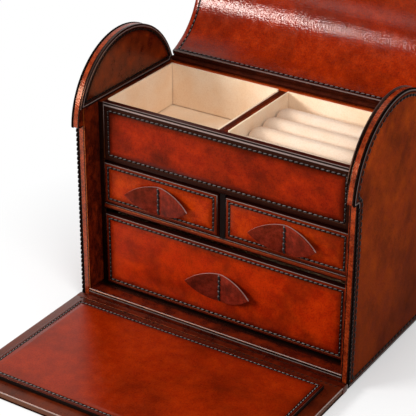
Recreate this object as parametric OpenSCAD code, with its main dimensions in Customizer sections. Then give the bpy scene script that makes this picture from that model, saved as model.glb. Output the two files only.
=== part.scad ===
// Leather jewellery box with domed ends, a barrel lid, a drop front and three drawers.
// X runs to the right, Y to the back and Z up; the origin is the middle of the underside.
// The lid and the drop front are drawn open and the drawers closed.

/* [Box] */
// Width over the two side walls
box_w = 260; // [230:1:300]
// Depth from the front edges of the side walls to the back
box_d = 132; // [122:1:160]
// Depth of the recess in front of the drawers
recess = 17; // [12:0.5:20]
// Thickness of the back wall, leather included
back_t = 7; // [6:0.5:10]

/* [Side walls] */
// Thickness of the covered board of a side wall
core_t = 5.5; // [4:0.5:8]
// Thickness of a leather facing
facing_t = 1.5; // [1:0.1:2]
// Thickness of the leather strip round the edge of a side wall
binding_t = 1.2; // [0.8:0.1:2]
// Distance that the facings stand proud of that strip
edge_inset = 0.5; // [0.3:0.1:1]
// Thickness of the second facing inside each dome
dome_facing_t = 2.2; // [1.5:0.1:3]
// Radius of the lower corner of each ear
ear_round = 2.5; // [1:0.5:4]
// Thickness of the cabinet cheeks inside the side walls
cheek_t = 6; // [4:0.5:11]

/* [Stack of drawers and tray] */
// Thickness of the pad under the base
pad_t = 1.5; // [1:0.5:3]
// Thickness of the base board
base_t = 9; // [8:0.5:12]
// Height of the wide drawer's front
large_h = 67; // [50:1:80]
// Height of the two small drawers' fronts
small_h = 37; // [30:1:50]
// Thickness of the shelf between the drawers
shelf_t = 5.5; // [4:0.5:9]
// Thickness of the upright between the small drawers
upright_t = 5; // [4:0.5:8]
// Height of the fascia in front of the tray
fascia_h = 52.5; // [46:0.5:60]
// Thickness of the fascia
fascia_t = 7; // [6:0.5:12]

/* [Drawers] */
// Thickness of a drawer front
front_t = 5.5; // [4:0.5:8]
// Thickness of a drawer's sides and back
drawer_wall = 3; // [2:0.5:4]
// Thickness of a drawer's bottom
drawer_floor = 2.5; // [2:0.5:4]
// Thickness of the suede in a drawer
drawer_lining_t = 1.5; // [1:0.1:2]
// Length of a leaf-shaped pull
pull_l = 62; // [40:1:80]
// Height of a pull at its middle
pull_h = 25; // [18:1:30]
// Thickness of a pull's leather
pull_t = 2; // [1.5:0.1:2.5]
// Distance that the tips of a pull stand off
pull_lift = 5.5; // [3:0.5:6]

/* [Tray] */
// Depth of the tray below its rim, suede included
tray_h = 41; // [35:1:44]
// Thickness of the board under the tray
tray_floor_t = 6; // [4:0.5:7]
// Thickness of the tray's suede lining
lining_t = 1.8; // [1.2:0.1:2.5]
// Thickness of the partition in the tray
partition_t = 9; // [5:0.5:12]
// Distance of the partition from the middle, to the left
partition_left = 5; // [0:1:30]
// Depth of the rail behind the tray
back_rail_t = 4; // [3:0.5:6]
// Height of the ring rolls
roll_h = 33; // [26:1:36]
// Gap between one ring roll and the next
roll_gap = 0.4; // [0.3:0.1:2]

/* [Drop front] */
// Thickness of the drop front
flap_t = 7; // [6:0.5:9]
// Thickness of the raised panel on its inside
raised_t = 4.5; // [3:0.5:4.5]
// Margin from the drop front's side edges to the raised panel
raised_side = 11.25; // [10:0.25:16]
// Margin from the hinge edge to the raised panel
raised_hinge = 18.7; // [17:0.1:30]
// Margin from the far edge to the raised panel
raised_far = 12; // [8:0.5:25]
// Depth of the leather rail along the hinge edge
hinge_rail = 5; // [4:0.5:8]
// Finger gap between the closed drop front and the lid
finger_gap = 4.9; // [2:0.1:8]
// Drop from the tray's rim to the underside of the ears
ear_drop = 17.5; // [14:0.5:24]

/* [Lid] */
// Thickness of the lid, leather included
lid_t = 6; // [5:0.5:8]
// Step from the domes' rims down to the lid
lid_step = 2.5; // [1:0.5:5]
// Gap between the lid and each dome
lid_side_gap = 0.8; // [0.5:0.1:2]
// Height of the lid's back edge above the tray's rim
lid_lift = 2.2; // [1.8:0.1:4]
// Radius of the leather bead on which the lid turns
bead_r = 2; // [1.5:0.1:2.5]
// Angle to which the lid stands open
lid_open = 92; // [0:1:95]

/* [Hidden] */

$fn = 96;

// Clearances
fit = 0.3;          // between pieces that are put together
swing_gap = 0.4;    // between the drop front and what it closes on
slide_gap = 0.7;    // beside a drawer
front_gap = 1.2;    // beside a drawer front
foot_gap = 0.8;     // leather edges stay this far off the table
drawer_back_gap = 2;
wide_gap = 1.5;     // under the wide drawer's front
shelf_gap = 3.5;    // between the wide drawer's front and the shelf
small_gap = 2;      // between the shelf and the small drawers' fronts
fascia_gap = 1.5;   // between the small drawers' fronts and the fascia
over = 1;           // extra reach of a cut

// Walls, from the outside in
half_w = box_w / 2;
front_y = -box_d / 2;
back_y = box_d / 2;
side_t = core_t + facing_t;
side_in = half_w - side_t;
cab_in = side_in - cheek_t;
back_in = back_y - back_t;
face_y = front_y + recess;
cheek_setback = 3;
shelf_setback = 1;
upright_setback = 2;

// Heights, from the table up
floor_z = pad_t + base_t;
floor_leather_t = 0.8;
runner_h = 1.5;
large_z = floor_z + wide_gap;
shelf_z = large_z + large_h + shelf_gap;
small_z = shelf_z + shelf_t + small_gap;
fascia_z = small_z + small_h + fascia_gap;
rim_z = fascia_z + fascia_h;
tray_z = rim_z - tray_h;
ear_z = rim_z - ear_drop;

// Drop front: its hinge edge is a half round about the hinge line
flap_r = flap_t / 2;
flap_axis_y = front_y - swing_gap - flap_r;
flap_axis_z = flap_r;
flap_far_y = flap_axis_y - (ear_z - finger_gap - flap_axis_z);
flap_rail_y = flap_axis_y - hinge_rail;
ear_out = flap_t + swing_gap;

// Domes and lid: half circles about one line, the lid a step inside the domes
spring_drop = 2.25;
spring_z = ear_z - spring_drop;
dome_r = (box_d + ear_out) / 2;
dome_y = back_y - dome_r;
lid_r = dome_r - lid_step;
lid_in_r = lid_r - lid_t;
lid_mid_r = lid_r - lid_t / 2;
lid_half = side_in - dome_facing_t - lid_side_gap;
lid_back = asin((rim_z + lid_lift - spring_z) / lid_in_r);
lid_front = 180 - asin((ear_z + fit + lid_t / 2 - spring_z) / lid_mid_r);
bead_way = -55;
bead_gap = 0.15;
bead_y = dome_y + lid_r * cos(lid_back) + (bead_r + bead_gap) * cos(bead_way);
bead_z = spring_z + lid_r * sin(lid_back) + (bead_r + bead_gap) * sin(bead_way);

// Drawers and tray
drawer_y = face_y + front_t;
drawer_back = back_in - drawer_back_gap;
front_in = upright_t / 2 + front_gap;
box_in = upright_t / 2 + slide_gap;
front_out = cab_in - front_gap;
box_out = cab_in - slide_gap;
tray_front = face_y + fascia_t;
tray_back = back_in - back_rail_t;
part_l = -partition_left - partition_t / 2;
part_r = -partition_left + partition_t / 2;
lining_floor = 2;

// Ring rolls share the right compartment, less a small gap at its back
roll_count = 4;
roll_back_gap = 6;
roll_room = tray_back - tray_front - 2 * lining_t - roll_back_gap;
roll_pitch = roll_room / roll_count;
roll_w = roll_pitch - roll_gap;
roll_x0 = part_r + lining_t + fit;
roll_x1 = cab_in - lining_t - fit;

// Colours
hide = "#8e3216";
hide_dark = "#5a2012";
hide_light = "#a8451c";
edge_black = "#241815";
suede = "#e0bf9b";
board = "#9c7b55";

// Block between two corners
module block(x0, x1, y0, y1, z0, z1) {
    translate([x0, y0, z0]) cube([x1 - x0, y1 - y0, z1 - z0]);
}

// Extrusion along X, from x0, of an outline drawn in Y and Z
module along_x(x0, length) {
    translate([x0, 0, 0]) rotate([90, 0, 90]) linear_extrude(length) children();
}

// Outline of a board whose front corners are rounded
module nosed_outline(y0, y1, z0, z1, r) {
    translate([y0 + r, z0]) square([y1 - y0 - r, z1 - z0]);
    translate([y0, z0 + r]) square([r, z1 - z0 - 2 * r]);
    for (z = [z0 + r, z1 - r]) translate([y0 + r, z]) circle(r);
}

// Block whose four front edges are rounded
module nosed_block(x0, x1, y0, y1, z0, z1, r) {
    intersection() {
        along_x(x0, x1 - x0) nosed_outline(y0, y1, z0, z1, r);
        translate([0, 0, z0]) linear_extrude(z1 - z0) mirror([1, -1, 0]) nosed_outline(y0, y1, x0, x1, r);
    }
}

// Outline of a side wall: upright back and front, half-round dome, and an ear over the drop front
module wall_outline(inset, foot) {
    ear_y = front_y - ear_out + inset;
    ear_low = ear_z + inset;
    difference() {
        union() {
            translate([ear_y, foot]) square([box_d + ear_out - 2 * inset, spring_z - foot]);
            intersection() {
                translate([dome_y, spring_z]) circle(dome_r - inset);
                translate([dome_y - dome_r, spring_z - over]) square([2 * dome_r, dome_r + 2 * over]);
            }
        }
        translate([ear_y - over, foot - over]) square([ear_out + over, ear_low - foot + over]);
        ear_corner(ear_y, ear_low);
    }
}

// What is cut away to round the lower corner of an ear
module ear_corner(y, z) {
    difference() {
        translate([y - over, z - over]) square(ear_round + over);
        translate([y + ear_round, z + ear_round]) circle(ear_round);
    }
}

// Base
module base_pad() {
    color(suede) block(-side_in, side_in, front_y, back_in, 0, pad_t);
}

module base_board() {
    color(hide_dark) block(-side_in, side_in, front_y + floor_leather_t, back_in, pad_t, floor_z);
}

// Leather that covers the recess floor and turns down over the front of the base
module recess_floor_leather() {
    nose_r = 2 * floor_leather_t;
    top = floor_z + floor_leather_t;
    color(hide) along_x(-side_in, 2 * side_in) difference() {
        union() {
            translate([front_y, pad_t]) square([recess, top - nose_r - pad_t]);
            translate([front_y + nose_r, pad_t]) square([recess + upright_setback - nose_r, top - pad_t]);
            translate([front_y + nose_r, top - nose_r]) circle(nose_r);
        }
        translate([front_y + floor_leather_t, pad_t - over]) square([box_d, base_t + over]);
    }
}

// Side walls
module side_panel() {
    color(hide_dark) along_x(-side_in - core_t, core_t) wall_outline(edge_inset + binding_t, 0);
}

module outer_facing() {
    color(hide_light) along_x(-half_w, facing_t) wall_outline(0, foot_gap);
}

module edge_binding() {
    color(hide) along_x(-side_in - core_t, core_t) difference() {
        wall_outline(edge_inset, foot_gap);
        wall_outline(edge_inset + binding_t, foot_gap - over);
    }
}

module dome_facing() {
    color(hide_dark) along_x(-side_in, dome_facing_t) difference() {
        intersection() {
            wall_outline(0, foot_gap);
            translate([-box_d, rim_z - fit]) square([2 * box_d, 2 * dome_r]);
        }
        translate([back_in - fit, rim_z - over]) square([back_t + over, lid_lift + over]);
    }
}

module cheek() {
    color(edge_black) block(-side_in, -cab_in, face_y + cheek_setback, back_in, floor_z, rim_z - over);
}

// Leather on the inside of a side wall, in front of the cheek
module recess_leather() {
    color(hide_dark)
        block(-side_in, -side_in + floor_leather_t, front_y + edge_inset, face_y + cheek_setback,
              floor_z + floor_leather_t, rim_z - over);
}

module left_side_panel() { side_panel(); }
module right_side_panel() { mirror([1, 0, 0]) side_panel(); }
module left_outer_facing() { outer_facing(); }
module right_outer_facing() { mirror([1, 0, 0]) outer_facing(); }
module left_edge_binding() { edge_binding(); }
module right_edge_binding() { mirror([1, 0, 0]) edge_binding(); }
module left_dome_facing() { dome_facing(); }
module right_dome_facing() { mirror([1, 0, 0]) dome_facing(); }
module left_cheek() { cheek(); }
module right_cheek() { mirror([1, 0, 0]) cheek(); }
module left_recess_leather() { recess_leather(); }
module right_recess_leather() { mirror([1, 0, 0]) recess_leather(); }

// Back wall, with a half-round groove along its top for the lid's bead
module back_panel() {
    color(hide_dark) difference() {
        block(-side_in, side_in, back_in, back_y - facing_t, foot_gap, rim_z + lid_lift - fit);
        translate([-half_w, bead_y, bead_z]) rotate([0, 90, 0]) cylinder(h = box_w, r = bead_r + fit);
    }
}

module back_facing() {
    color(hide_light) block(-side_in, side_in, back_y - facing_t, back_y, foot_gap, rim_z + lid_lift - fit);
}

// Cabinet
module drawer_runners() {
    runner_w = 8;
    runner_in = 14;
    for (side = [0, 1]) mirror([side, 0, 0])
        color(board)
            block(-cab_in + runner_in - runner_w, -cab_in + runner_in, drawer_y + over, back_in,
                  floor_z, floor_z + runner_h);
}

module drawer_shelf() {
    nose_flat = 0.2;
    color(hide) along_x(-cab_in, 2 * cab_in)
        nosed_outline(face_y + shelf_setback, back_in, shelf_z, shelf_z + shelf_t, (shelf_t - nose_flat) / 2);
}

// Upright between the small drawers, stepped down in front to pass under the fascia
module drawer_upright() {
    color(hide_dark) along_x(-upright_t / 2, upright_t) difference() {
        translate([face_y + upright_setback, shelf_z + shelf_t])
            square([back_in - face_y - upright_setback, tray_z - tray_floor_t - shelf_z - shelf_t]);
        translate([face_y, fascia_z]) square([fascia_t, tray_h]);
    }
}

module tray_floor() {
    color(board) block(-cab_in, cab_in, tray_front, back_in, tray_z - tray_floor_t, tray_z);
}

module fascia_panel() {
    fascia_round = 3;
    color(hide) nosed_block(-cab_in + fit, cab_in - fit, face_y, tray_front, fascia_z, rim_z, fascia_round);
}

module tray_back_rail() {
    color(hide_light) block(-cab_in, cab_in, tray_back, back_in, tray_z, rim_z);
}

module tray_partition() {
    round_top = 2;
    rim_drop = 1;
    low = rim_z - rim_drop;
    color(hide) union() {
        block(part_l, part_r, tray_front, tray_back, tray_z, low - round_top);
        block(part_l + round_top, part_r - round_top, tray_front, tray_back, low - round_top - over, low);
        for (x = [part_l + round_top, part_r - round_top])
            translate([x, tray_front, low - round_top]) rotate([-90, 0, 0])
                cylinder(h = tray_back - tray_front, r = round_top);
    }
}

// Open box of suede
module lining(x0, x1, y0, y1, z0, z1, wall, floor_h) {
    color(suede) difference() {
        block(x0, x1, y0, y1, z0, z1);
        block(x0 + wall, x1 - wall, y0 + wall, y1 - wall, z0 + floor_h, z1 + over);
    }
}

module left_tray_lining() {
    lining(-cab_in, part_l, tray_front, tray_back, tray_z, rim_z, lining_t, lining_floor);
}

module right_tray_lining() {
    lining(part_r, cab_in, tray_front, tray_back, tray_z, rim_z, lining_t, lining_floor);
}

// Ring rolls: padded bars with a round crown, drawn in at both ends
roll_arc_steps = 14;
roll_stations = 15;
roll_end_run = 9;
roll_end_size = 0.62;
roll_crowding = 0.14;   // how much closer the stations lie near the ends

function roll_swell(x) =
    let (run = min(x - roll_x0, roll_x1 - x) / roll_end_run)
    run >= 1 ? 1 : roll_end_size + (1 - roll_end_size) * sqrt(1 - (1 - run) * (1 - run));

function roll_section(size) =
    let (r = roll_w / 2 * (0.5 + size / 2), top = roll_h * size)
    concat(
        [[-r, 0]],
        [for (i = [0 : roll_arc_steps])
            let (a = 180 - 180 * i / roll_arc_steps)
            [r * cos(a), top - r + r * sin(a)]],
        [[r, 0]]);

function roll_station(i) =
    let (t = i / (roll_stations - 1))
    roll_x0 + (roll_x1 - roll_x0) * (t - roll_crowding * sin(360 * t));

module ring_roll(number) {
    middle_y = tray_front + lining_t + roll_pitch * (number - 0.5);
    count = roll_arc_steps + 3;
    points = [
        for (i = [0 : roll_stations - 1])
            let (x = roll_station(i))
            for (p = roll_section(roll_swell(x))) [x, middle_y + p[0], tray_z + lining_floor + p[1]]
    ];
    sides = [
        for (i = [0 : roll_stations - 2], k = [0 : count - 1])
            let (a = i * count + k, b = i * count + (k + 1) % count)
            each [[a, a + count, b], [b, a + count, b + count]]
    ];
    first = [for (k = [1 : count - 2]) [0, k, k + 1]];
    last_at = (roll_stations - 1) * count;
    last = [for (k = [1 : count - 2]) [last_at, last_at + k + 1, last_at + k]];
    color(suede) polyhedron(points, concat(sides, first, last));
}

module ring_roll_1() { ring_roll(1); }
module ring_roll_2() { ring_roll(2); }
module ring_roll_3() { ring_roll(3); }
module ring_roll_4() { ring_roll(4); }

// Lid: drawn closed about the domes' line, then turned open about its bead
module lid_piece() {
    translate([0, bead_y, bead_z]) rotate([-lid_open, 0, 0]) translate([0, -bead_y, -bead_z])
        along_x(-lid_half, 2 * lid_half) children();
}

// Part of a ring between two radii, over the lid's sweep
module lid_sector(r_in, r_out) {
    reach = 3 * dome_r;
    translate([dome_y, spring_z]) intersection() {
        difference() {
            circle(r_out);
            circle(r_in);
        }
        polygon([
            [0, 0],
            reach * [cos(lid_back), sin(lid_back)],
            [reach, reach],
            [-reach, reach],
            reach * [cos(lid_front), sin(lid_front)]
        ]);
    }
}

module lid_shell() {
    color(board) lid_piece() lid_sector(lid_in_r + facing_t, lid_r - facing_t);
}

module lid_cover() {
    color(hide_light) lid_piece() lid_sector(lid_r - facing_t, lid_r);
}

module lid_lining() {
    color(hide) lid_piece() lid_sector(lid_in_r, lid_in_r + facing_t);
}

module lid_hinge_bead() {
    color(edge_black) translate([-lid_half, bead_y, bead_z]) rotate([0, 90, 0])
        cylinder(h = 2 * lid_half, r = bead_r);
}

module lid_front_edging() {
    color(hide_dark) lid_piece()
        translate([dome_y, spring_z]) rotate(lid_front) translate([lid_mid_r, 0])
            intersection() {
                circle(lid_t / 2);
                translate([-lid_t, 0]) square([2 * lid_t, lid_t]);
            }
}

// Drop front
module flap_board() {
    color(board) block(-half_w + edge_inset, half_w - edge_inset, flap_far_y + edge_inset, flap_rail_y,
                       facing_t, flap_t - facing_t);
}

module flap_outer_facing() {
    color(hide_light) block(-half_w, half_w, flap_far_y, flap_rail_y, 0, facing_t);
}

module flap_inner_facing() {
    color(hide) block(-half_w, half_w, flap_far_y, flap_rail_y, flap_t - facing_t, flap_t);
}

module flap_raised_panel() {
    bevel = 1.2;
    corner = 2;
    x = half_w - raised_side - corner;
    near = front_y - raised_hinge - corner;
    far = flap_far_y + raised_far + corner;
    color(hide) hull() for (sx = [-x, x], y = [near, far]) translate([sx, y, flap_t]) {
        cylinder(h = raised_t - bevel, r = corner, $fn = 24);
        cylinder(h = raised_t, r = corner - bevel, $fn = 24);
    }
}

module flap_hinge_rail() {
    color(hide_dark) along_x(-half_w, box_w) {
        translate([flap_axis_y, flap_axis_z]) circle(flap_r);
        translate([flap_rail_y, 0]) square([hinge_rail, flap_t]);
    }
}

// Drawers
module drawer_box(x0, x1, z0, z1) {
    color(board) difference() {
        block(x0, x1, drawer_y, drawer_back, z0, z1);
        block(x0 + drawer_wall, x1 - drawer_wall, drawer_y + drawer_wall, drawer_back - drawer_wall,
              z0 + drawer_floor, z1 + over);
    }
}

module drawer_lining(x0, x1, z0, z1) {
    lining(x0 + drawer_wall, x1 - drawer_wall, drawer_y + drawer_wall, drawer_back - drawer_wall,
           z0 + drawer_floor, z1, drawer_lining_t, drawer_lining_t);
}

module drawer_front(x0, x1, z0, z1) {
    front_round = 1.5;
    color(hide) nosed_block(x0, x1, face_y, drawer_y, z0, z1, front_round);
}

// Leaf of leather, sewn down along its middle, whose two wings fold forward from the seam
module pull(x, z) {
    half_l = pull_l / 2;
    half_h = pull_h / 2;
    leaf_r = (half_l * half_l + half_h * half_h) / (2 * half_h);
    seam = 1.5;
    color(hide_dark) translate([x, face_y, z]) intersection() {
        translate([0, 0, -pull_h]) linear_extrude(2 * pull_h) polygon([
            [-half_l, -pull_lift],
            [-seam, 0],
            [seam, 0],
            [half_l, -pull_lift],
            [half_l, -pull_lift - pull_t],
            [seam, -pull_t],
            [-seam, -pull_t],
            [-half_l, -pull_lift - pull_t]
        ]);
        intersection_for (side = [-1, 1])
            translate([0, over, side * (leaf_r - half_h)]) rotate([90, 0, 0])
                cylinder(h = pull_lift + pull_t + 2 * over, r = leaf_r);
    }
}

large_box_drop = 5;     // from the top of a front to the top of its box
small_box_drop = 3.5;
large_box_z = floor_z + runner_h + fit;
large_box_top = large_z + large_h - large_box_drop;
small_box_z = shelf_z + shelf_t + fit;
small_box_top = small_z + small_h - small_box_drop;
pull_drop = 2.2;
large_pull_z = large_z + large_h / 2 - pull_drop;
small_pull_z = small_z + small_h / 2 - pull_drop;
small_middle = (front_in + front_out) / 2;

module large_drawer_box() { drawer_box(-box_out, box_out, large_box_z, large_box_top); }
module large_drawer_lining() { drawer_lining(-box_out, box_out, large_box_z, large_box_top); }
module large_drawer_front() { drawer_front(-front_out, front_out, large_z, large_z + large_h); }
module large_drawer_pull() { pull(0, large_pull_z); }

module left_drawer_box() { drawer_box(-box_out, -box_in, small_box_z, small_box_top); }
module left_drawer_lining() { drawer_lining(-box_out, -box_in, small_box_z, small_box_top); }
module left_drawer_front() { drawer_front(-front_out, -front_in, small_z, small_z + small_h); }
module left_drawer_pull() { pull(-small_middle, small_pull_z); }

module right_drawer_box() { drawer_box(box_in, box_out, small_box_z, small_box_top); }
module right_drawer_lining() { drawer_lining(box_in, box_out, small_box_z, small_box_top); }
module right_drawer_front() { drawer_front(front_in, front_out, small_z, small_z + small_h); }
module right_drawer_pull() { pull(small_middle, small_pull_z); }

base_pad();
base_board();
recess_floor_leather();
left_side_panel();
right_side_panel();
left_outer_facing();
right_outer_facing();
left_edge_binding();
right_edge_binding();
left_dome_facing();
right_dome_facing();
left_cheek();
right_cheek();
left_recess_leather();
right_recess_leather();
back_panel();
back_facing();
drawer_runners();
drawer_shelf();
drawer_upright();
tray_floor();
fascia_panel();
tray_back_rail();
tray_partition();
left_tray_lining();
right_tray_lining();
ring_roll_1();
ring_roll_2();
ring_roll_3();
ring_roll_4();
lid_shell();
lid_cover();
lid_lining();
lid_hinge_bead();
lid_front_edging();
flap_board();
flap_outer_facing();
flap_inner_facing();
flap_raised_panel();
flap_hinge_rail();
large_drawer_box();
large_drawer_front();
large_drawer_lining();
large_drawer_pull();
left_drawer_box();
left_drawer_front();
left_drawer_lining();
left_drawer_pull();
right_drawer_box();
right_drawer_front();
right_drawer_lining();
right_drawer_pull();
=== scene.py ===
import math

import bmesh
import bpy
import numpy as np
from mathutils import Matrix, Vector


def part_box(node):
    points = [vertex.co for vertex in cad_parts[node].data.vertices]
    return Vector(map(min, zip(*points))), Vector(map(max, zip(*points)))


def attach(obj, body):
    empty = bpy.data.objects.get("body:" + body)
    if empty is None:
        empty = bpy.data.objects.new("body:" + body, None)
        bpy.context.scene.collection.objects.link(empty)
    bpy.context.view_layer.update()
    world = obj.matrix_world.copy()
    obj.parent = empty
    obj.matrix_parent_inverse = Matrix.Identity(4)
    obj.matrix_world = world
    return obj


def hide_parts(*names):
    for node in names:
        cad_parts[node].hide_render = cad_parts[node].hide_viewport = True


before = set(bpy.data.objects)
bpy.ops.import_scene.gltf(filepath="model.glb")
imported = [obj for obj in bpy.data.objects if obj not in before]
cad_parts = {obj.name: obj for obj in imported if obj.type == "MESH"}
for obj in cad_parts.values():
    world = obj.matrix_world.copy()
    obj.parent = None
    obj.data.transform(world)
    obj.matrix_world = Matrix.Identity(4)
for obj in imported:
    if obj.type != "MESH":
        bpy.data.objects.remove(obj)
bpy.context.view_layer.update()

# Base: a stained board on a felt pad, with thin leather over the recess floor.
# The leather is pasted down and rolled over the front edge, so a rounded nose shows there.
MM = 0.001
BACK, UP = Vector((0, 1, 0)), Vector((0, 0, 1))


def linear(colour):
    """Linear RGBA of an sRGB hex colour."""
    parts = [int(colour[i:i + 2], 16) / 255 for i in (1, 3, 5)]
    return tuple(p / 12.92 if p <= 0.04045 else ((p + 0.055) / 1.055) ** 2.4 for p in parts) + (1.0,)


def add(material, kind, links=None, **settings):
    """Adds one shader node with its settings; a link's value is another node's socket or a constant."""
    node = material.node_tree.nodes.new("ShaderNode" + kind)
    for name, value in settings.items():
        setattr(node, name, value)
    for socket, value in (links or {}).items():
        if isinstance(value, bpy.types.NodeSocket):
            material.node_tree.links.new(value, node.inputs[socket])
        else:
            node.inputs[socket].default_value = value
    return node


def new_material(name):
    """A new material with an empty node tree."""
    material = bpy.data.materials.new(name)
    material.use_nodes = True
    material.node_tree.nodes.clear()
    return material


# Felt and suede: a short brushed nap that scatters light and shows faint clouds where it was stroked.
# Nap fibres are under 0.2 mm; they are drawn in tufts of 1.1 mm so that they show.
# The stored attribute gives painted shade, from 0 to 1; only the ring rolls carry it, at their ends.
def brushed_suede(name, light, base, dark):
    suede = new_material(name)
    spot = add(suede, "TexCoord").outputs["Object"]
    strokes = add(suede, "TexNoise", {"Vector": spot, "Scale": 1 / (26 * MM), "Detail": 5.0}).outputs["Fac"]
    nap = add(suede, "TexNoise", {"Vector": spot, "Scale": 1 / (1.1 * MM), "Detail": 4.0,
                                  "Roughness": 0.75}).outputs["Fac"]
    stroked = add(suede, "MapRange", {"Value": strokes, "From Min": 0.35, "From Max": 0.7}).outputs["Result"]
    napped = add(suede, "MapRange", {"Value": nap, "From Min": 0.45, "From Max": 0.8,
                                     "To Max": 0.45}).outputs["Result"]
    tone = add(suede, "Mix", {0: stroked, 6: linear(base), 7: linear(light)}, data_type="RGBA").outputs[2]
    tone = add(suede, "Mix", {0: napped, 6: tone, 7: linear(dark)}, data_type="RGBA").outputs[2]
    # The stored attribute mixes in painted shade, a warm brown.
    painted_shade = add(suede, "Attribute", attribute_name="wear_and_painted_light").outputs["Fac"]
    tone = add(suede, "Mix", {0: painted_shade, 6: tone, 7: linear("#7c4a20")}, data_type="RGBA").outputs[2]
    relief = add(suede, "Bump", {"Height": nap, "Strength": 0.5, "Distance": 0.25 * MM}).outputs["Normal"]
    surface = add(suede, "BsdfPrincipled", {"Base Color": tone, "Roughness": 0.95, "Normal": relief, "IOR": 1.4,
                                            "Specular IOR Level": 0.2, "Sheen Weight": 0.25, "Sheen Roughness": 0.5,
                                            "Sheen Tint": linear("#f6e6cf")})
    add(suede, "OutputMaterial", {"Surface": surface.outputs[0]})
    return suede


# Brown felt: close, dull and dark, so that the foot of the box stays in shadow.
felt = brushed_suede("brown_felt", "#5a4334", "#4a3628", "#2e2019")


# Stained board and the painted edges of leather: dark, close and nearly plain, with a faint streak.
# The streaks are about 2.5 mm wide and eight times as long.
def stained_board(name, light, dark, gloss=0.5, shine=0.5):
    board = new_material(name)
    spot = add(board, "TexCoord").outputs["Object"]
    along = add(board, "Mapping", {"Vector": spot, "Scale": (0.12, 1, 1)}).outputs["Vector"]
    streaks = add(board, "TexNoise", {"Vector": along, "Scale": 1 / (2.5 * MM), "Detail": 4.0}).outputs["Fac"]
    tone = add(board, "Mix", {0: streaks, 6: linear(dark), 7: linear(light)}, data_type="RGBA").outputs[2]
    rough = add(board, "MapRange", {"Value": streaks, "To Min": gloss - 0.1, "To Max": gloss + 0.1}).outputs["Result"]
    relief = add(board, "Bump", {"Height": streaks, "Strength": 0.25, "Distance": 0.2 * MM}).outputs["Normal"]
    surface = add(board, "BsdfPrincipled", {"Base Color": tone, "Roughness": rough, "Normal": relief,
                                            "Specular IOR Level": shine})
    add(board, "OutputMaterial", {"Surface": surface.outputs[0]})
    return board


# Edge paint: black and smooth, with hardly any highlight.
black_edge = stained_board("black_edge_paint", "#180e0a", "#080404", shine=0.04)
# Colours of an inked edge, also used for painted shadow, and of painted highlight lines.
INK_AND_SHADOW, HIGHLIGHT_PAINT = "#090504", "#c2a9a2"
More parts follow.
